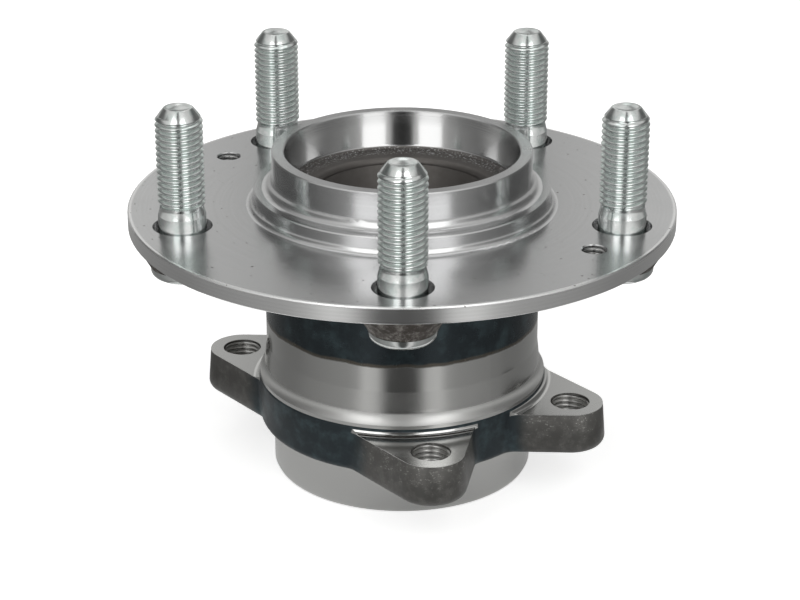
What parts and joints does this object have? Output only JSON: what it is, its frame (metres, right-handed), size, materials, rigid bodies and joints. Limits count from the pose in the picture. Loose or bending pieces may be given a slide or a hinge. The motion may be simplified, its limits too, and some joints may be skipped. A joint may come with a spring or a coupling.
{
  "type": "driven wheel hub bearing",
  "caption": "Bolt-on double-row ball hub bearing with splined bore, wheel studs, centring rings and lugs for the steering knuckle.",
  "frame": {"origin": "on the bearing axis in the end face of the outer ring's spigot, the lowest face of the part", "axes": "+Z along the bearing axis from the spigot to the wheel side, +X along the long side of the rectangle of knuckle bolt holes"},
  "size_m": [0.139, 0.139, 0.1023],
  "materials": {
    "forged_steel": "forged steel, turned faces and a blued induction-hardened band",
    "turned_steel": "forged steel with finely turned faces",
    "zinc_steel": "bright zinc plating",
    "bearing_steel": "ground and polished",
    "cage_polymer": "glass-filled polyamide",
    "seal_steel": "pressed sheet steel",
    "seal_rubber": "moulded nitrile rubber"
  },
  "bodies": {
    "housing": {"outer_ring": "forged_steel", "outboard_seal_case": "seal_steel", "outboard_seal_lip": "seal_rubber", "inboard_seal_case": "seal_steel", "inboard_seal_lip": "seal_rubber"},
    "hub": {"hub_flange": "turned_steel", "inner_ring": "bearing_steel", "inboard_slinger": "seal_steel", "encoder_ring": "seal_rubber", "wheel_stud_1": "zinc_steel", "wheel_stud_2": "zinc_steel", "wheel_stud_3": "zinc_steel", "wheel_stud_4": "zinc_steel", "wheel_stud_5": "zinc_steel"},
    "outboard_row": {"outboard_ball_01": "bearing_steel", "outboard_ball_02": "bearing_steel", "outboard_ball_03": "bearing_steel", "outboard_ball_04": "bearing_steel", "outboard_ball_05": "bearing_steel", "outboard_ball_06": "bearing_steel", "outboard_ball_07": "bearing_steel", "outboard_ball_08": "bearing_steel", "outboard_ball_09": "bearing_steel", "outboard_ball_10": "bearing_steel", "outboard_ball_11": "bearing_steel", "outboard_ball_12": "bearing_steel", "outboard_cage": "cage_polymer"},
    "inboard_row": {"inboard_ball_01": "bearing_steel", "inboard_ball_02": "bearing_steel", "inboard_ball_03": "bearing_steel", "inboard_ball_04": "bearing_steel", "inboard_ball_05": "bearing_steel", "inboard_ball_06": "bearing_steel", "inboard_ball_07": "bearing_steel", "inboard_ball_08": "bearing_steel", "inboard_ball_09": "bearing_steel", "inboard_ball_10": "bearing_steel", "inboard_ball_11": "bearing_steel", "inboard_ball_12": "bearing_steel", "inboard_cage": "cage_polymer"}
  },
  "joints": [
    {"name": "hub_spin", "type": "hinge", "parent": "housing", "child": "hub", "pos_m": [0, 0, 0.0365], "axis": [0, 0, 1], "continuous": true},
    {"name": "outboard_row_spin", "type": "hinge", "parent": "housing", "child": "outboard_row", "pos_m": [0, 0, 0.045], "axis": [0, 0, 1], "continuous": true},
    {"name": "inboard_row_spin", "type": "hinge", "parent": "housing", "child": "inboard_row", "pos_m": [0, 0, 0.0135], "axis": [0, 0, 1], "continuous": true}
  ],
  "couplings": [
    {"joint": "outboard_row_spin", "follows": "hub_spin", "ratio": 0.4131},
    {"joint": "inboard_row_spin", "follows": "hub_spin", "ratio": 0.4131}
  ]
}
